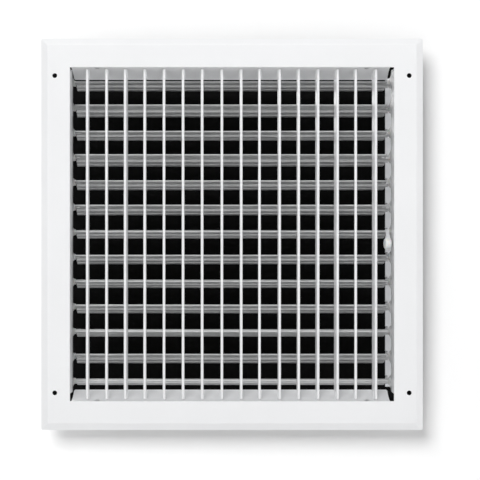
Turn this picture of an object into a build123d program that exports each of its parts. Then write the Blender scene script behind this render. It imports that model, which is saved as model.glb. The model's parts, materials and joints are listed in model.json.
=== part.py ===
from build123d import *

import math
import os

# A louvred air grille: a stamped face with sixteen upright fins that turn one by one,
# and behind them a damper of thirteen level blades that one lever opens and shuts.
# Millimetres. +X is right, +Z is up and +Y runs into the duct. The front of the face
# lies at Y = 0, and the origin is the centre of the four screw holes.

# Face: one stamped sheet with a sloped rim and returns around the opening
SHEET = 1.0
FACE_W = 349.0
FACE_H = 358.0
RIM_W = 6.4
RIM_D = 5.0
HIP_R = 2.5
FACE_EDGE_R = 1.4
MARGIN = 26.8
OPEN_W = FACE_W - 2 * MARGIN
OPEN_H = FACE_H - 2 * MARGIN
OPEN_EDGE_R = 0.8
SCREW_R = 2.2
SCREW_X = 323.1
SCREW_Z = 289.2

# Returns: the side ones are flat, the top and bottom ones curve in towards the back
RETURN_D = 27.0
RETURN_DROP = 8.2
RETURN_R = (RETURN_D**2 + RETURN_DROP**2) / (2 * RETURN_DROP)
RETURN_TURN = math.asin(RETURN_D / RETURN_R)
RETURN_X0 = -146.7
RETURN_X1 = 144.3
RETURN_CORNER = 0.8
SIDE_D = 19.0
SIDE_Z0 = -145.5
SIDE_Z1 = 149.0

# Running fits and small gaps
RUN = 0.05
PIECE_GAP = 0.1

# Fins: drop-shaped strips with a round nose, on a pin at each end
FIN_COUNT = 16
FIN_PITCH = 17.54
FIN_FIRST_X = -132.3
FIN_Y = 11.0
FIN_NOSE_R = 1.2
FIN_TAIL_R = 0.45
FIN_CHORD = 12.7
FIN_END_GAP = 1.0
FIN_PIN_R = 1.5
FIN_PIN_GRIP = 6.0
FIN_PIN_PROUD = 1.0
FIN_SET_DEG = [2.5, 1.0, 7.0, 2.5, 1.0, 2.5, 3.5, -3.0, -5.0, 4.5, -6.0, -5.0, -7.5, -11.0, 0.0, -11.0]

# Fin strips: flat bars outside the top and bottom returns that take the fin pins
STRIP_T = 0.8
STRIP_Y0 = 1.6
STRIP_Y1 = 16.0
STRIP_HALF_W = 141.0
STRIP_INNER_Z = OPEN_H / 2 + SHEET + PIECE_GAP
STRIP_RIVET_X = 123.3
STRIP_RIVET_Y = 4.0
RIVET_R = 1.5
RIVET_HEAD_R = 2.5
RIVET_HEAD_H = 0.8

# Damper rails: side strips with one ear for each blade, wider ones on the linkage side
RAIL_T = 0.9
RAIL_X = OPEN_W / 2 + 0.2
RAIL_FLANGE_X = OPEN_W / 2 + SHEET + PIECE_GAP
RAIL_Y0 = 7.0
RAIL_STEP_Y0 = SIDE_D + 0.3
RAIL_STEP_Y1 = SIDE_D + 1.9
RAIL_Y1 = 27.0
RAIL_Z0 = -145.5
RAIL_Z1 = 152.5
LEFT_EAR_BASE_HALF = 3.9
LEFT_EAR_TIP_R = 2.8
LEFT_EAR_FILLET = 1.5
RIGHT_EAR_BASE_HALF = 6.5
RIGHT_EAR_TIP_R = 4.2
RIGHT_EAR_FILLET = 4.0

# Damper blades: rolled strips with hemmed edges and a raised bead over the pivot line
BLADE_COUNT = 13
BLADE_PITCH = 23.28
BLADE_MID_Z = 2.7
PIVOT_Y = 42.0
BLADE_T = 0.7
BLADE_HALF = 13.0
BLADE_X0 = -146.4
BLADE_X1 = 144.2
WING_V = -2.2
HEM_W = 4.2
BEAD_C = -0.85
BEAD_R = 2.75
BEAD_FOOT = 3.9
BLADE_SET_DEG = [12.0, 19.5, 13.5, 20.5, 15.5, 18.0, 12.5, 17.5, 13.5, 17.5, 12.0, 21.5, 8.0]
PIN_R = 1.3
PIN_END_X = 149.9
PIN_GRIP = 12.0
LEVER_BLADE = 7

# Bushings: plastic collars in the ears
LEFT_BUSH_R = 1.9
LEFT_BUSH_FLANGE_R = 2.6
RIGHT_BUSH_R = 2.2
RIGHT_BUSH_FLANGE_R = 3.5
BUSH_FLANGE_T = 0.9
BUSH_END_X = 149.4

# Linkage: each blade's right end has a tongue with a finger that stands in a notch of the bar
TONGUE_X1 = 146.7
TONGUE_U0 = -3.9
TONGUE_U1 = 5.2
CRANK_R = 8.5
CRANK_RISE_DEG = 24.0
FINGER_X0 = 145.2
FINGER_T = 0.7
FINGER_LEN = 11.6
FINGER_HEAD_X0 = 144.9
FINGER_HEAD_X1 = 148.0
FINGER_HEAD_LEN = 0.9
BAR_X0 = 144.9
BAR_X1 = 150.8
BAR_T = 0.8
BAR_BELOW = 9.7
BAR_ABOVE = 2.4
NOTCH_X1 = 146.95
NOTCH_H = 2.0
BAR_Y = PIVOT_Y + CRANK_R * math.cos(math.radians(CRANK_RISE_DEG))
CRANK_Z = CRANK_R * math.sin(math.radians(CRANK_RISE_DEG))

# Lever and knob on the middle blade
LEVER_T = 1.0
LEVER_X0 = 124.0
LEVER_U0 = -8.8
LEVER_U1 = -4.6
ARM_X0 = 142.6
ARM_X1 = 145.9
ARM_BEND_U = -14.6
LEVER_RIVET_X = [127.0, 136.0]
LEVER_RIVET_U = -6.2
KNOB_R = 4.9
KNOB_LEN = 5.4
KNOB_X = 142.85
KNOB_Y = 10.5
KNOB_Z = -8.4
KNOB_YAW_DEG = 11.0
KNOB_EDGE_R = 1.0
GROOVE_R = 0.35

FACE_PLANE = Plane.XZ
SIDE_PLANE = Plane.YZ


def blade_z(number):
    """Height of a blade's pivot line, counted from 1 at the top."""
    middle = (BLADE_COUNT + 1) / 2
    return BLADE_MID_Z + (middle - number) * BLADE_PITCH


def blade_tilt(number):
    """How far a blade's front edge is raised at rest."""
    return BLADE_SET_DEG[number - 1]


def fin_x(number):
    """Sideways place of a fin's pivot line, counted from 1 at the left."""
    return FIN_FIRST_X + (number - 1) * FIN_PITCH


def return_inner_z(depth):
    """Height of the top return's inner face at a depth behind the face."""
    return OPEN_H / 2 - RETURN_R + math.sqrt(RETURN_R**2 - depth**2)


def block(x_span, y_span, z_span):
    """A box between three pairs of limits."""
    size = [span[1] - span[0] for span in (x_span, y_span, z_span)]
    middle = [(span[0] + span[1]) / 2 for span in (x_span, y_span, z_span)]
    return Pos(*middle) * Box(*size)


def rod_x(x_span, y, z, radius):
    """A round bar along X."""
    length = x_span[1] - x_span[0]
    return Pos((x_span[0] + x_span[1]) / 2, y, z) * Rot(0, 90, 0) * Cylinder(radius, length)


def rod_y(x, y_span, z, radius):
    """A round bar along Y."""
    length = y_span[1] - y_span[0]
    return Pos(x, (y_span[0] + y_span[1]) / 2, z) * Rot(90, 0, 0) * Cylinder(radius, length)


def rod_z(x, y, z_span, radius):
    """A round bar along Z."""
    length = z_span[1] - z_span[0]
    return Pos(x, y, (z_span[0] + z_span[1]) / 2) * Cylinder(radius, length)


def frustum(half_w, half_h, y0, y1):
    """A rectangular block whose sides flare at the rim's slope from y0 to y1."""
    spread = (y1 - y0) * RIM_W / RIM_D
    front = FACE_PLANE.offset(-y0) * Rectangle(2 * half_w, 2 * half_h)
    back = FACE_PLANE.offset(-y1) * Rectangle(2 * (half_w + spread), 2 * (half_h + spread))
    return loft(Sketch() + [front, back])


def face_plate():
    """The flat front with its sloped rim, opening and screw holes."""
    half_w = FACE_W / 2 - RIM_W
    half_h = FACE_H / 2 - RIM_W
    outer = frustum(half_w, half_h, 0, RIM_D)
    hips = [e for e in outer.edges() if 0.1 < e.center().Y < RIM_D - 0.1]
    outer = fillet(hips, HIP_R)
    front = outer.faces().sort_by(Axis.Y)[0]
    outer = fillet(front.edges(), FACE_EDGE_R)
    slope = math.hypot(RIM_W, RIM_D)
    inset = SHEET * (slope - RIM_W) / RIM_D
    hollow = frustum(half_w - inset, half_h - inset, SHEET, RIM_D + SHEET)
    opening = block((-OPEN_W / 2, OPEN_W / 2), (-SHEET, RIM_D), (-OPEN_H / 2, OPEN_H / 2))
    plate = outer - hollow - opening
    front_edges = [e for e in plate.edges() if abs(e.center().Y) < 0.1]
    within_w = [e for e in front_edges if abs(e.center().X) < OPEN_W / 2 + 0.1]
    lips = [e for e in within_w if abs(e.center().Z) < OPEN_H / 2 + 0.1]
    plate = fillet(lips, OPEN_EDGE_R)
    for x in (-SCREW_X / 2, SCREW_X / 2):
        for z in (-SCREW_Z / 2, SCREW_Z / 2):
            plate -= rod_y(x, (-SHEET, RIM_D), z, SCREW_R)
    return plate


def curved_return():
    """The top return: level behind the face, then curving down towards the back."""
    centre_z = OPEN_H / 2 - RETURN_R
    start = math.asin(OPEN_EDGE_R / RETURN_R)

    def at(radius, turn):
        return (radius * math.sin(turn), centre_z + radius * math.cos(turn))

    middle = (start + RETURN_TURN) / 2
    inner_r = RETURN_R
    outer_r = RETURN_R + SHEET
    outline = [
        ThreePointArc(at(inner_r, start), at(inner_r, middle), at(inner_r, RETURN_TURN)),
        Line(at(inner_r, RETURN_TURN), at(outer_r, RETURN_TURN)),
        ThreePointArc(at(outer_r, RETURN_TURN), at(outer_r, middle), at(outer_r, start)),
        Line(at(outer_r, start), at(inner_r, start)),
    ]
    flange = extrude(SIDE_PLANE.offset(RETURN_X0) * make_face(outline), RETURN_X1 - RETURN_X0)
    for edge_x, outward in ((RETURN_X0, -1), (RETURN_X1, 1)):
        corner = Polyline(
            (edge_x + outward, RETURN_D - 2 * RETURN_CORNER - 1),
            (edge_x + outward, RETURN_D + 1),
            (edge_x - outward * (RETURN_CORNER + 1), RETURN_D + 1),
            close=True,
        )
        flange -= extrude(make_face(corner), OPEN_H)
    return flange


def face_frame():
    """The stamped face with its four returns and the holes for the fin pins."""
    frame = face_plate()
    top = curved_return()
    frame += top
    frame += mirror(top, Plane.XY)
    for side in (-1, 1):
        inner = side * OPEN_W / 2
        outer = side * (OPEN_W / 2 + SHEET)
        x_span = (min(inner, outer), max(inner, outer))
        frame += block(x_span, (OPEN_EDGE_R, SIDE_D), (SIDE_Z0, SIDE_Z1))
    for number in range(1, FIN_COUNT + 1):
        for side in (-1, 1):
            z_span = sorted((side * (OPEN_H / 2 - 4), side * (OPEN_H / 2 + 4)))
            frame -= rod_z(fin_x(number), FIN_Y, z_span, FIN_PIN_R + RUN)
    for x in (-STRIP_RIVET_X, STRIP_RIVET_X):
        for side in (-1, 1):
            z_span = sorted((side * (OPEN_H / 2 - 4), side * (OPEN_H / 2 + 4)))
            frame -= rod_z(x, STRIP_RIVET_Y, z_span, RIVET_R + RUN)
    return frame


def fin_strip():
    """The bar above the top return that holds the fin pins."""
    z_span = (STRIP_INNER_Z, STRIP_INNER_Z + STRIP_T)
    strip = block((-STRIP_HALF_W, STRIP_HALF_W), (STRIP_Y0, STRIP_Y1), z_span)
    for number in range(1, FIN_COUNT + 1):
        strip -= rod_z(fin_x(number), FIN_Y, (z_span[0] - 1, z_span[1] + 1), FIN_PIN_R + RUN)
    for x in (-STRIP_RIVET_X, STRIP_RIVET_X):
        strip -= rod_z(x, STRIP_RIVET_Y, (z_span[0] - 1, z_span[1] + 1), RIVET_R + RUN)
    return strip


def rivet(length):
    """A rivet along Z from 0 to length with a domed head at each end."""
    body = rod_z(0, 0, (0, length), RIVET_R)
    sphere_r = (RIVET_HEAD_R**2 + RIVET_HEAD_H**2) / (2 * RIVET_HEAD_H)
    dome = Pos(0, 0, RIVET_HEAD_H - sphere_r) * Sphere(sphere_r)
    dome &= rod_z(0, 0, (0, RIVET_HEAD_H), RIVET_HEAD_R)
    return body + Pos(0, 0, length) * dome + mirror(dome, Plane.XY)


def strip_rivets():
    """Four rivets that hold the fin strips to the returns."""
    low = return_inner_z(STRIP_RIVET_Y + RIVET_HEAD_R)
    high = STRIP_INNER_Z + STRIP_T
    group = []
    for x in (-STRIP_RIVET_X, STRIP_RIVET_X):
        top = Pos(x, STRIP_RIVET_Y, low) * rivet(high - low)
        group += [top, mirror(top, Plane.XY)]
    return Compound(children=group)


def fin_section():
    """Drop shape of a fin, nose at -Y, with the pin line at the origin."""
    nose_y = FIN_NOSE_R - FIN_CHORD / 2
    tail_y = FIN_CHORD / 2 - FIN_TAIL_R
    lean = math.asin((FIN_NOSE_R - FIN_TAIL_R) / (tail_y - nose_y))
    across = math.cos(lean)
    along = math.sin(lean)
    nose = (FIN_NOSE_R * across, nose_y + FIN_NOSE_R * along)
    tail = (FIN_TAIL_R * across, tail_y + FIN_TAIL_R * along)
    outline = [
        ThreePointArc((-nose[0], nose[1]), (0, -FIN_CHORD / 2), nose),
        Line(nose, tail),
        ThreePointArc(tail, (0, FIN_CHORD / 2), (-tail[0], tail[1])),
        Line((-tail[0], tail[1]), (-nose[0], nose[1])),
    ]
    return make_face(outline)


def fin(number):
    """One fin: a drop-shaped strip whose ends follow the returns, with a pin at each end."""
    blank = extrude(fin_section(), OPEN_H / 2, both=True)
    centre_z = OPEN_H / 2 - RETURN_R
    reach = RETURN_R - FIN_END_GAP
    shifted = Pos(0, -FIN_Y, 0)
    for side in (-1, 1):
        wall = rod_x((-FIN_CHORD, FIN_CHORD), 0, side * centre_z, reach)
        middle = block((-FIN_CHORD, FIN_CHORD), (-reach, reach), sorted((-side * OPEN_H, side * centre_z)))
        blank &= shifted * (wall + middle)
    pin_root = return_inner_z(FIN_Y) - FIN_END_GAP - FIN_PIN_GRIP
    pin_end = STRIP_INNER_Z + STRIP_T + FIN_PIN_PROUD
    for side in (-1, 1):
        blank += rod_z(0, 0, sorted((side * pin_root, side * pin_end)), FIN_PIN_R)
    return Pos(fin_x(number), FIN_Y, 0) * Rot(0, 0, -FIN_SET_DEG[number - 1]) * blank


def ear_face(base_half, tip_r):
    """Outline of one ear: straight sides that meet the round tip at a tangent."""
    reach = PIVOT_Y - RAIL_Y1
    far = math.hypot(reach, base_half)
    turn = math.asin(tip_r / far) - math.atan2(base_half, reach)
    side = math.sqrt(far**2 - tip_r**2)
    tangent = (RAIL_Y1 + side * math.cos(turn), base_half + side * math.sin(turn))
    taper = Polyline(
        (RAIL_Y1, base_half),
        tangent,
        (tangent[0], -tangent[1]),
        (RAIL_Y1, -base_half),
        close=True,
    )
    return make_face(taper) + Pos(PIVOT_Y, 0) * Circle(tip_r)


def right_rail(base_half, tip_r, fillet_r, hole_r):
    """A rail on the right: a flange beside the return, a small step in, and an ear for each blade."""
    flange = Polyline(
        (RAIL_FLANGE_X, RAIL_Y0),
        (RAIL_FLANGE_X + RAIL_T, RAIL_Y0),
        (RAIL_FLANGE_X + RAIL_T, RAIL_STEP_Y0 + 0.4),
        (RAIL_X + RAIL_T, RAIL_STEP_Y1 + 0.4),
        (RAIL_X + RAIL_T, RAIL_Y1),
        (RAIL_X, RAIL_Y1),
        (RAIL_X, RAIL_STEP_Y1),
        (RAIL_FLANGE_X, RAIL_STEP_Y0),
        close=True,
    )
    rail = Pos(0, 0, RAIL_Z0) * extrude(make_face(flange), RAIL_Z1 - RAIL_Z0)
    web_y0 = RAIL_STEP_Y1 + 1
    web = Pos((web_y0 + RAIL_Y1) / 2, 0) * Rectangle(RAIL_Y1 - web_y0, FACE_H)
    for number in range(1, BLADE_COUNT + 1):
        web += Pos(0, blade_z(number)) * ear_face(base_half, tip_r)
    on_edge = [v for v in web.vertices() if abs(v.X - RAIL_Y1) < 0.01]
    web = fillet([v for v in on_edge if abs(v.Y) < FACE_H / 2 - 1], fillet_r)
    web &= Pos(0, (RAIL_Z0 + RAIL_Z1) / 2) * Rectangle(4 * RAIL_Y1, RAIL_Z1 - RAIL_Z0)
    rail += extrude(SIDE_PLANE.offset(RAIL_X) * web, RAIL_T)
    for number in range(1, BLADE_COUNT + 1):
        rail -= rod_x((RAIL_X - 1, RAIL_X + 2), PIVOT_Y, blade_z(number), hole_r)
    return rail


def right_bushings(sleeve_r, flange_r):
    """Thirteen flanged collars, one in each ear of a rail on the right."""
    group = []
    for number in range(1, BLADE_COUNT + 1):
        z = blade_z(number)
        collar = rod_x((RAIL_X - BUSH_FLANGE_T, RAIL_X), PIVOT_Y, z, flange_r)
        collar += rod_x((RAIL_X, BUSH_END_X), PIVOT_Y, z, sleeve_r)
        collar -= rod_x((RAIL_X - 2, BUSH_END_X + 1), PIVOT_Y, z, PIN_R + RUN)
        group.append(collar)
    return group


def bead_face(radius, foot, base):
    """Area under a round-topped bead with flared feet."""
    outline = [
        Line((-foot, base), (-radius, BEAD_C)),
        ThreePointArc((-radius, BEAD_C), (0, BEAD_C + radius), (radius, BEAD_C)),
        Line((radius, BEAD_C), (foot, base)),
        Line((foot, base), (-foot, base)),
    ]
    return make_face(outline)


def blade_section():
    """Section of a blade, with the pivot line at the origin and the front edge at -X."""
    half_t = BLADE_T / 2
    section = Pos(0, WING_V) * Rectangle(2 * (BLADE_HALF - BLADE_T), BLADE_T)
    for side in (-1, 1):
        section += Pos(side * (BLADE_HALF - HEM_W / 2), WING_V - half_t) * SlotOverall(HEM_W, 2 * BLADE_T)
    section += bead_face(BEAD_R, BEAD_FOOT, WING_V + half_t)
    section -= bead_face(BEAD_R - BLADE_T, BEAD_FOOT - BLADE_T, WING_V - half_t - 0.01)
    return section


def damper_blade(number):
    """One blade at its rest tilt, with pins, tongue and finger."""
    section = blade_section()
    blade = extrude(SIDE_PLANE.offset(BLADE_X0) * section, BLADE_X1 - BLADE_X0)
    clip = Polyline(
        (BLADE_X1 + 1, BLADE_HALF + 1),
        (BLADE_X1 - 2.2, BLADE_HALF + 1),
        (BLADE_X1 + 1, BLADE_HALF - 6.5),
        close=True,
    )
    blade -= extrude(make_face(clip), BLADE_HALF, both=True)
    for x in (BLADE_X0 + 2.8, BLADE_X1 - 2.8):
        blade -= extrude(Pos(x, -BLADE_HALF / 2) * SlotOverall(3.2, 1.4), BLADE_HALF, both=True)
    window = Pos((TONGUE_U0 + TONGUE_U1) / 2, 0) * Rectangle(TONGUE_U1 - TONGUE_U0, 4 * BEAD_R)
    blade += extrude(SIDE_PLANE.offset(BLADE_X1) * (section & window), TONGUE_X1 - BLADE_X1)
    blade += rod_x((-PIN_END_X, BLADE_X0 + PIN_GRIP), 0, 0, PIN_R)
    blade += rod_x((BLADE_X1 - PIN_GRIP, PIN_END_X), 0, 0, PIN_R)
    tilt = blade_tilt(number)
    thickness = (-FINGER_T / 2, FINGER_T / 2)
    finger = block((FINGER_X0, TONGUE_X1), (0, FINGER_LEN), thickness)
    finger += block((FINGER_HEAD_X0, FINGER_HEAD_X1), (FINGER_LEN - FINGER_HEAD_LEN, FINGER_LEN), thickness)
    blade += Rot(CRANK_RISE_DEG + tilt, 0, 0) * finger
    if number == LEVER_BLADE:
        for x in LEVER_RIVET_X:
            blade -= rod_z(x, LEVER_RIVET_U, (-5, 5), RIVET_R + RUN)
    return Pos(0, PIVOT_Y, blade_z(number)) * Rot(-tilt, 0, 0) * blade


def linkage_bar():
    """A flat bar behind the right-hand ears, with a notch for each blade's finger."""
    z_span = (blade_z(BLADE_COUNT) + CRANK_Z - BAR_BELOW, blade_z(1) + CRANK_Z + BAR_ABOVE)
    y_span = (BAR_Y - BAR_T / 2, BAR_Y + BAR_T / 2)
    bar = block((BAR_X0, BAR_X1), y_span, z_span)
    for number in range(1, BLADE_COUNT + 1):
        z = blade_z(number) + CRANK_Z
        bar -= block((BAR_X0 - 1, NOTCH_X1), (BAR_Y - 1, BAR_Y + 1), (z - NOTCH_H / 2, z + NOTCH_H / 2))
    return bar


def on_lever_blade(piece):
    """Moves a piece from the lever blade's own axes to the grille's."""
    return Pos(0, PIVOT_Y, blade_z(LEVER_BLADE)) * Rot(-blade_tilt(LEVER_BLADE), 0, 0) * piece


def lever_arm():
    """The arm from the bend in front of the blade down to the middle of the knob."""
    tilt = math.radians(blade_tilt(LEVER_BLADE))
    bend_v = WING_V + BLADE_T / 2 + LEVER_T / 2
    bend_y = PIVOT_Y + ARM_BEND_U * math.cos(tilt) + bend_v * math.sin(tilt)
    bend_z = blade_z(LEVER_BLADE) - ARM_BEND_U * math.sin(tilt) + bend_v * math.cos(tilt)
    reach = math.hypot(bend_y - KNOB_Y, bend_z - KNOB_Z)
    fall = math.degrees(math.atan2(bend_z - KNOB_Z, bend_y - KNOB_Y))
    arm = block((ARM_X0, ARM_X1), (-reach, 0), (-LEVER_T / 2, LEVER_T / 2))
    arm += rod_x((ARM_X0, ARM_X1), 0, 0, LEVER_T / 2)
    return Pos(0, bend_y, bend_z) * Rot(fall, 0, 0) * arm


def damper_lever():
    """The lever: a foot riveted on the blade and an arm that reaches forward to the knob."""
    top = WING_V + BLADE_T / 2
    foot = block((LEVER_X0, ARM_X1), (LEVER_U0, LEVER_U1), (top, top + LEVER_T))
    foot += block((ARM_X0, ARM_X1), (ARM_BEND_U, LEVER_U0 + 1), (top, top + LEVER_T))
    for x in LEVER_RIVET_X:
        foot -= rod_z(x, LEVER_RIVET_U, (-5, 5), RIVET_R + RUN)
    return on_lever_blade(foot) + lever_arm()


def lever_rivets():
    """Two rivets through the lever's foot and the blade."""
    low = WING_V - BLADE_T / 2
    length = BLADE_T + LEVER_T
    group = []
    for x in LEVER_RIVET_X:
        group.append(on_lever_blade(Pos(x, LEVER_RIVET_U, low) * rivet(length)))
    return Compound(children=group)


def lever_knob():
    """A short grooved barrel pushed on the end of the arm."""
    knob = Rot(0, 90, 0) * Cylinder(KNOB_R, KNOB_LEN)
    knob = fillet(knob.edges().filter_by(GeomType.CIRCLE), KNOB_EDGE_R)
    for x in (-KNOB_LEN / 6, KNOB_LEN / 6):
        knob -= Pos(x, 0, 0) * Rot(0, 90, 0) * Torus(KNOB_R, GROOVE_R)
    knob = Pos(KNOB_X, KNOB_Y, KNOB_Z) * Rot(0, 0, KNOB_YAW_DEG) * knob
    return knob - lever_arm()


def main():
    """Builds every piece and writes one STEP file for each."""
    left_rail = right_rail(LEFT_EAR_BASE_HALF, LEFT_EAR_TIP_R, LEFT_EAR_FILLET, LEFT_BUSH_R + RUN)
    left_bushings = right_bushings(LEFT_BUSH_R, LEFT_BUSH_FLANGE_R)
    pieces = {
        "face_frame": face_frame(),
        "fin_strip_top": fin_strip(),
        "fin_strip_bottom": mirror(fin_strip(), Plane.XY),
        "fin_strip_rivets": strip_rivets(),
        "damper_rail_left": mirror(left_rail, Plane.YZ),
        "damper_rail_right": right_rail(
            RIGHT_EAR_BASE_HALF, RIGHT_EAR_TIP_R, RIGHT_EAR_FILLET, RIGHT_BUSH_R + RUN
        ),
        "pivot_bushings_left": Compound(children=[mirror(b, Plane.YZ) for b in left_bushings]),
        "pivot_bushings_right": Compound(children=right_bushings(RIGHT_BUSH_R, RIGHT_BUSH_FLANGE_R)),
        "linkage_bar": linkage_bar(),
        "damper_lever": damper_lever(),
        "lever_rivets": lever_rivets(),
        "lever_knob": lever_knob(),
    }
    for number in range(1, FIN_COUNT + 1):
        pieces[f"fin_{number:02d}"] = fin(number)
    for number in range(1, BLADE_COUNT + 1):
        pieces[f"damper_blade_{number:02d}"] = damper_blade(number)
    os.makedirs("parts", exist_ok=True)
    for name, piece in pieces.items():
        export_step(piece, f"parts/{name}.step")


main()
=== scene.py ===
import json
import math

import bpy
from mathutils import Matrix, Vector


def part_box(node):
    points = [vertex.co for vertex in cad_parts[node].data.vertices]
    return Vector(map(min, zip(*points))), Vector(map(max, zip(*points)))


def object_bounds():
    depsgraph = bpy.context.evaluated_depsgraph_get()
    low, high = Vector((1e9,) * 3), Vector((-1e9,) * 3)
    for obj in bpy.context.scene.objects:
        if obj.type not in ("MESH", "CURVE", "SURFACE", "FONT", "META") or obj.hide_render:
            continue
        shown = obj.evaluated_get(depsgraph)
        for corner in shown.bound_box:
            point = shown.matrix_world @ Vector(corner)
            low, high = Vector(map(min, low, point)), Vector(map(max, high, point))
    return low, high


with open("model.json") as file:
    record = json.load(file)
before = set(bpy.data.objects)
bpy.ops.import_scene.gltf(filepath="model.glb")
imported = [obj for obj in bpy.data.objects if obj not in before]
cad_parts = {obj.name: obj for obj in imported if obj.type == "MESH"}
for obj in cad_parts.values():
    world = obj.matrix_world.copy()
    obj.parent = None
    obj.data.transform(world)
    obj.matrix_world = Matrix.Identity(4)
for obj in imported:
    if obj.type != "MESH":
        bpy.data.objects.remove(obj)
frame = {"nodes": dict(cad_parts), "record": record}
cad_low, cad_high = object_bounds()

# A louvred air grille: a white face with upright fins, and a bladed damper behind them.
# Metres, in the CAD's frame: +X right, +Z up, +Y into the duct, the face's front at Y = 0.

# Camera: straight in front of the face, a little below its middle
CAMERA_PLACE = Vector((0.0, -1.300, -0.0253))
CAMERA_LENS = 107.0
CAMERA_SENSOR = 36.0
CAMERA_SHIFT = (0.0167, 0.0458)

# Stage: a pale wall close behind the rim, which sweeps into a pale floor
RIM_DEPTH = 0.005
WALL_GAP = 0.023
WALL_REACH = 4.0
WALL_OVERLAP = 0.012
SWEEP_R = 0.05
SWEEP_STEPS = 8
FLOOR_DROP = 0.09
WALL_WHITE = (0.93, 0.93, 0.93, 1)
FLOOR_WHITE = (0.85, 0.85, 0.85, 1)

# Black cards that paint shade: one behind the damper for the shaded inside of the duct, one behind each
# screw hole
CARD_GAP = 0.006
CARD_OVERLAP = 0.02
BORE_SHADE_DEPTH = 0.003
BORE_SHADE_HALF = 0.0036
PAINTED_SHADE_BLACK = (0.003, 0.003, 0.003, 1)

# Lights, each as place, size and power: one for the backdrop, four for the grille's front
# and one for its back, which shines through the backdrop
BACKDROP_KEY = ((-2.1, -4.5, 3.0), 3.2, 276)
FRONT_LIGHTS = {
    "left": ((-3.1, -3.1, 0.2), 3.2, 33),
    "right": ((2.7, -3.3, 0.2), 3.2, 76),
    "top": ((-0.3, -1.7, 2.1), 1.2, 31),
    "bottom": ((0.2, -2.3, -3.4), 2.0, 38),
}
BACK_LIGHT = ((-0.8, 2.2, 0.9), 1.2, 12)
WORLD_STRENGTH = 0.26

# Colours of the finishes: each pattern runs between a lighter and a darker one
POWDER_WHITE = (0.855, 0.86, 0.87, 1)
POWDER_SHADE = (0.835, 0.84, 0.85, 1)
STEEL_LIGHT = (0.74, 0.745, 0.745, 1)
STEEL_DARK = (0.46, 0.465, 0.47, 1)
# Zinc for the linkage and lever, raised above the plating's own brightness: partly the zinc's colour,
# partly painted light standing in for front light that barely reaches the linkage deep inside
ZINC_PAINTED_LIT_LIGHT = (0.94, 0.95, 0.97, 1)
ZINC_PAINTED_LIT_DARK = (0.87, 0.88, 0.90, 1)
ALUMINIUM_LIGHT = (0.82, 0.83, 0.84, 1)
ALUMINIUM_DARK = (0.6, 0.6, 0.61, 1)
KNOB_LIGHT = (0.86, 0.87, 0.86, 1)
KNOB_DARK = (0.82, 0.83, 0.82, 1)
NYLON_LIGHT = (0.74, 0.74, 0.72, 1)
NYLON_DARK = (0.68, 0.68, 0.66, 1)
BUMP_DEPTH = 0.001


def link(obj):
    """Puts a new object in the scene."""
    bpy.context.scene.collection.objects.link(obj)
    return obj


def mesh_object(name, corners, faces):
    """A mesh object from its corners and faces."""
    mesh = bpy.data.meshes.new(name)
    mesh.from_pydata(corners, [], faces)
    mesh.update()
    return link(bpy.data.objects.new(name, mesh))


# ---------------------------------------------------------------- materials


class Shader:
    """A material's node tree, with the few kinds of node that the finishes share."""

    def __init__(self, name):
        self.material = bpy.data.materials.new(name)
        self.material.use_nodes = True
        self.tree = self.material.node_tree
        self.surface = self.tree.nodes["Principled BSDF"]
        self.place = self.add("ShaderNodeTexCoord").outputs["Object"]

    def add(self, kind):
        return self.tree.nodes.new(kind)

    def join(self, source, target):
        self.tree.links.new(source, target)

    def set(self, **values):
        """Sets constants on the shader's own sockets, such as base_color or roughness."""
        for name, value in values.items():
            wanted = name.replace("_", " ").lower()
            socket = next(s for s in self.surface.inputs if s.name.lower() == wanted)
            socket.default_value = value

    def stretched(self, scale):
        """Coordinates scaled unevenly, for grain that runs one way."""
        mapping = self.add("ShaderNodeMapping")
        mapping.inputs["Scale"].default_value = scale
        self.join(self.place, mapping.inputs["Vector"])
        return mapping.outputs["Vector"]

    def noise(self, scale, detail=2.0, rough=0.5, place=None):
        """Cloudy noise, even in all directions unless stretched coordinates are given."""
        node = self.add("ShaderNodeTexNoise")
        node.inputs["Scale"].default_value = scale
        node.inputs["Detail"].default_value = detail
        node.inputs["Roughness"].default_value = rough
        self.join(place or self.place, node.inputs["Vector"])
        return node.outputs["Fac"]

    def cells(self, scale):
        """A random value for each cell of a Voronoi pattern."""
        node = self.add("ShaderNodeTexVoronoi")
        node.inputs["Scale"].default_value = scale
        self.join(self.place, node.inputs["Vector"])
        split = self.add("ShaderNodeSeparateColor")
        self.join(node.outputs["Color"], split.inputs["Color"])
        return split.outputs["Red"]

    def spread(self, value, low, high, start=0.3, end=0.7):
        """Maps a pattern's start to end range to low to high."""
        node = self.add("ShaderNodeMapRange")
        node.inputs["From Min"].default_value = start
        node.inputs["From Max"].default_value = end
        node.inputs["To Min"].default_value = low
        node.inputs["To Max"].default_value = high
        self.join(value, node.inputs["Value"])
        return node.outputs["Result"]

    def total(self, *values):
        """The sum of several patterns."""
        result = values[0]
        for value in values[1:]:
            node = self.add("ShaderNodeMath")
            node.operation = "ADD"
            self.join(result, node.inputs[0])
            self.join(value, node.inputs[1])
            result = node.outputs["Value"]
        return result

    def blend(self, factor, first, second):
        """One colour turning into another by a pattern."""
        node = self.add("ShaderNodeMix")
        node.data_type = "RGBA"
        colours = [s for s in node.inputs if s.type == "RGBA"]
        colours[0].default_value = first
        colours[1].default_value = second
        self.join(factor, node.inputs["Factor"])
        return next(s for s in node.outputs if s.type == "RGBA")

    def drive(self, name, value):
        """Feeds a pattern into one of the shader's sockets."""
        self.join(value, self.surface.inputs[name])

    def bump(self, height):
        """Feeds a height pattern, in units of BUMP_DEPTH, into the surface's normal."""
        node = self.add("ShaderNodeBump")
        node.inputs["Distance"].default_value = BUMP_DEPTH
        node.inputs["Strength"].default_value = 1.0
        self.join(height, node.inputs["Height"])
        self.join(node.outputs["Normal"], self.surface.inputs["Normal"])


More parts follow.
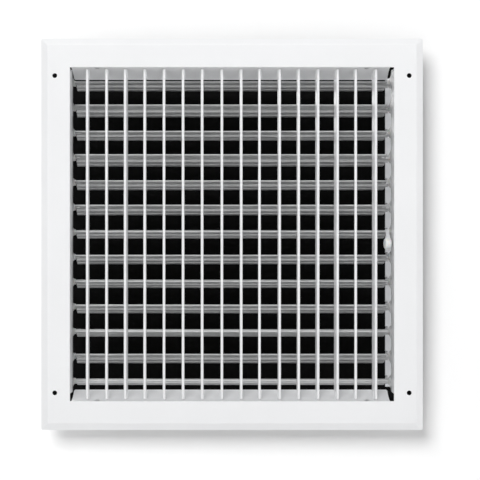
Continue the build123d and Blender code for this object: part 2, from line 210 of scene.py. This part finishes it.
def powder_coat(name, peel, wave, rough):
    """White powder coat: fine orange peel over a sheet that isn't quite flat."""
    paint = Shader(name)
    cloud = paint.noise(14, detail=3)
    paint.drive("Base Color", paint.blend(paint.spread(cloud, 0, 1), POWDER_SHADE, POWDER_WHITE))
    grain = paint.noise(700, detail=2)
    paint.drive("Roughness", paint.spread(grain, rough - 0.05, rough + 0.07))
    paint.set(ior=1.5, coat_weight=0.15, coat_roughness=0.2)
    height = paint.total(
        paint.spread(grain, 0, peel),
        paint.spread(paint.noise(160, detail=1), 0, 3 * peel),
        paint.spread(paint.noise(22, detail=0), 0, wave),
    )
    paint.bump(height)
    return paint.material


def rolled_metal(name, light, dark, rough, spangle, along, shine):
    """Galvanised strip: soft spangle and drawing lines along the strip."""
    metal = Shader(name)
    lines = metal.noise(1, detail=4, rough=0.6, place=metal.stretched(along))
    flakes = metal.cells(spangle)
    cloud = metal.noise(30, detail=3)
    pattern = metal.total(
        metal.spread(lines, 0, 0.5),
        metal.spread(flakes, 0, 0.25, 0, 1),
        metal.spread(cloud, 0, 0.25),
    )
    metal.drive("Base Color", metal.blend(pattern, dark, light))
    metal.drive("Roughness", metal.spread(metal.total(lines, flakes), rough - 0.06, rough + 0.08, 0.3, 1.7))
    metal.set(metallic=shine)
    height = metal.total(
        metal.spread(lines, 0, 0.02),
        metal.spread(flakes, 0, 0.004, 0, 1),
        metal.spread(metal.noise(45, detail=1), 0, 0.25),
    )
    metal.bump(height)
    return metal.material


def moulded_plastic(name, light, dark, rough):
    """Moulded plastic: a faint flow pattern, fine sparked texture and a little depth."""
    plastic = Shader(name)
    flow = plastic.noise(120, detail=2)
    plastic.drive("Base Color", plastic.blend(plastic.spread(flow, 0, 1), dark, light))
    grain = plastic.noise(2600, detail=1)
    plastic.drive("Roughness", plastic.spread(grain, rough - 0.05, rough + 0.07))
    plastic.set(ior=1.49, subsurface_weight=0.15, subsurface_scale=0.0008)
    plastic.bump(plastic.spread(grain, 0, 0.02))
    return plastic.material


def set_rivet(name):
    """Bright aluminium rivet, a little dulled by its setting tool."""
    metal = Shader(name)
    marks = metal.noise(900, detail=3)
    metal.drive("Base Color", metal.blend(metal.spread(marks, 0, 1), ALUMINIUM_DARK, ALUMINIUM_LIGHT))
    metal.drive("Roughness", metal.spread(marks, 0.28, 0.42))
    metal.set(metallic=1.0)
    metal.bump(metal.spread(marks, 0, 0.03))
    return metal.material


def finishes():
    """One material for each of the record's slots."""
    along_x = (5, 420, 420)
    along_x_coarse = (8, 500, 500)
    along_z = (600, 600, 8)
    return {
        "face_paint": powder_coat("face_paint", peel=0.004, wave=0.12, rough=0.39),
        "fin_paint": powder_coat("fin_paint", peel=0.003, wave=0.05, rough=0.36),
        "rail_paint": powder_coat("rail_paint", peel=0.002, wave=0.03, rough=0.18),
        "strip_metal": rolled_metal("strip_metal", STEEL_LIGHT, STEEL_DARK, 0.42, 150, along_x_coarse, 0.8),
        "blade_metal": rolled_metal("blade_metal", STEEL_LIGHT, STEEL_DARK, 0.4, 130, along_x, 0.35),
        # Linkage zinc: its colours carry painted light, raised to brighten the deep linkage
        "linkage_metal": rolled_metal("linkage_metal", ZINC_PAINTED_LIT_LIGHT, ZINC_PAINTED_LIT_DARK, 0.36, 220, along_z, 0.15),
        "rivet_metal": set_rivet("rivet_metal"),
        "knob_plastic": moulded_plastic("knob_plastic", KNOB_LIGHT, KNOB_DARK, 0.32),
        "bushing_plastic": moulded_plastic("bushing_plastic", NYLON_LIGHT, NYLON_DARK, 0.38),
    }


def paint_nodes(materials):
    """Gives every CAD node the finish of its slot."""
    for row in frame["record"]["subparts"]:
        node = frame["nodes"][row["node"]]
        node.data.materials.clear()
        node.data.materials.append(materials[row["material_slot"]])


# ---------------------------------------------------------------- stage


def one_sided(name, colour, rough):
    """A surface that shows and blocks light only from its front."""
    shader = Shader(name)
    shader.set(base_color=colour, roughness=rough, specular_ior_level=0.2)
    clear = shader.add("ShaderNodeBsdfTransparent")
    mix = shader.add("ShaderNodeMixShader")
    side = shader.add("ShaderNodeNewGeometry")
    output = shader.tree.nodes["Material Output"]
    shader.join(side.outputs["Backfacing"], mix.inputs[0])
    shader.join(shader.surface.outputs[0], mix.inputs[1])
    shader.join(clear.outputs[0], mix.inputs[2])
    shader.join(mix.outputs[0], output.inputs["Surface"])
    return shader.material


def wall(y, hole_x, hole_z, floor_z):
    """A wall with a hole for the neck, which curves into the floor at its foot."""
    across = [-WALL_REACH, -hole_x, hole_x, WALL_REACH]
    rows = [(y, z) for z in (WALL_REACH, hole_z, -hole_z)]
    for step in range(SWEEP_STEPS + 1):
        turn = math.pi / 2 * step / SWEEP_STEPS
        rows.append((y - SWEEP_R * (1 - math.cos(turn)), floor_z + SWEEP_R * (1 - math.sin(turn))))
    corners = [(x, row[0], row[1]) for row in rows for x in across]
    faces = []
    for r in range(len(rows) - 1):
        for c in range(3):
            if (r, c) != (1, 1):
                start = 4 * r + c
                faces.append((start, start + 4, start + 5, start + 1))
    obj = mesh_object("stage_wall", corners, faces)
    obj.data.materials.append(one_sided("stage_wall", WALL_WHITE, 0.9))
    return obj


def floor(z):
    """A pale floor, out of sight in the front view."""
    r = WALL_REACH
    obj = mesh_object("stage_floor", [(-r, -r, z), (r, -r, z), (r, r, z), (-r, r, z)], [(0, 1, 2, 3)])
    shader = Shader("stage_floor")
    shader.set(base_color=FLOOR_WHITE, roughness=0.9, specular_ior_level=0.2)
    obj.data.materials.append(shader.material)
    return obj


def dark_cards(name, y, centres, half_x, half_z):
    """Black cards seen from the front only: painted shade for what lies in the dark behind an opening."""
    corners = []
    faces = []
    for x, z in centres:
        start = len(corners)
        for dx, dz in ((-1, -1), (1, -1), (1, 1), (-1, 1)):
            corners.append((x + dx * half_x, y, z + dz * half_z))
        faces.append((start, start + 1, start + 2, start + 3))
    obj = mesh_object(name, corners, faces)
    obj.data.materials.append(one_sided(name, PAINTED_SHADE_BLACK, 1.0))
    return obj


def screw_places():
    """Centres of the face's screw holes, from the part's own mount."""
    mount = next(m for m in frame["record"]["mounts"] if m["name"] == "face_screws")
    x = mount["dims"]["spacing_x_mm"] / 2000
    z = mount["dims"]["spacing_y_mm"] / 2000
    return [(-x, -z), (x, -z), (x, z), (-x, z)]


def area_light(name, place, size, power, receivers):
    """A square soft light aimed at the grille, which lights only what its group lets it."""
    data = bpy.data.lights.new(name, "AREA")
    data.size = size
    data.energy = power
    obj = link(bpy.data.objects.new(name, data))
    obj.location = place
    obj.rotation_mode = "QUATERNION"
    obj.rotation_quaternion = (-Vector(place)).to_track_quat("-Z", "Y")
    obj.light_linking.receiver_collection = receivers
    return obj


def light_group(name, surfaces, state):
    """A light-linking group that takes in the given surfaces, or leaves them out."""
    group = bpy.data.collections.new(name)
    for surface in surfaces:
        group.objects.link(surface)
    for entry in group.collection_objects:
        entry.light_linking.link_state = state
    return group


def studio():
    """Stage, lights and world."""
    face_low, face_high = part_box("face_frame")
    damper_back = max(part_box(name)[1].y for name in frame["nodes"])
    hole_x = face_high.x - WALL_OVERLAP
    hole_z = face_high.z - WALL_OVERLAP
    floor_z = cad_low.z - FLOOR_DROP
    rim_back = face_low.y + RIM_DEPTH
    surfaces = [wall(rim_back + WALL_GAP, hole_x, hole_z, floor_z), floor(floor_z)]
    # Half sizes of the near-black card of painted shade behind the damper, a little wider than the wall's
    # hole
    shade_card_x = hole_x + CARD_OVERLAP
    shade_card_z = hole_z + CARD_OVERLAP
    cards = [
        dark_cards("stage_duct_painted_shade", damper_back + CARD_GAP, [(0, 0)], shade_card_x, shade_card_z),
        # Painted shade: a small near-black card close behind each screw hole
        dark_cards("stage_bore_painted_shade", BORE_SHADE_DEPTH, screw_places(), BORE_SHADE_HALF, BORE_SHADE_HALF),
    ]
    backdrop = light_group("lit_backdrop", surfaces, "INCLUDE")
    grille = light_group("lit_grille", surfaces, "EXCLUDE")
    area_light("backdrop_key", *BACKDROP_KEY, backdrop)
    for name, light in FRONT_LIGHTS.items():
        area_light(name, *light, grille)
    back = area_light("back", *BACK_LIGHT, grille)
    back.light_linking.blocker_collection = light_group("back_passes", surfaces + cards, "EXCLUDE")
    world = bpy.data.worlds.new("studio")
    world.use_nodes = True
    background = world.node_tree.nodes["Background"]
    background.inputs["Color"].default_value = (1, 1, 1, 1)
    background.inputs["Strength"].default_value = WORLD_STRENGTH
    bpy.context.scene.world = world
    bpy.context.scene.view_settings.view_transform = "Standard"


def camera():
    """The photo's viewpoint."""
    data = bpy.data.cameras.new("camera")
    data.lens = CAMERA_LENS
    data.sensor_width = CAMERA_SENSOR
    data.shift_x, data.shift_y = CAMERA_SHIFT
    obj = link(bpy.data.objects.new("camera", data))
    obj.location = CAMERA_PLACE
    obj.rotation_euler = (math.pi / 2, 0, 0)
    bpy.context.scene.camera = obj


camera()
studio()
paint_nodes(finishes())
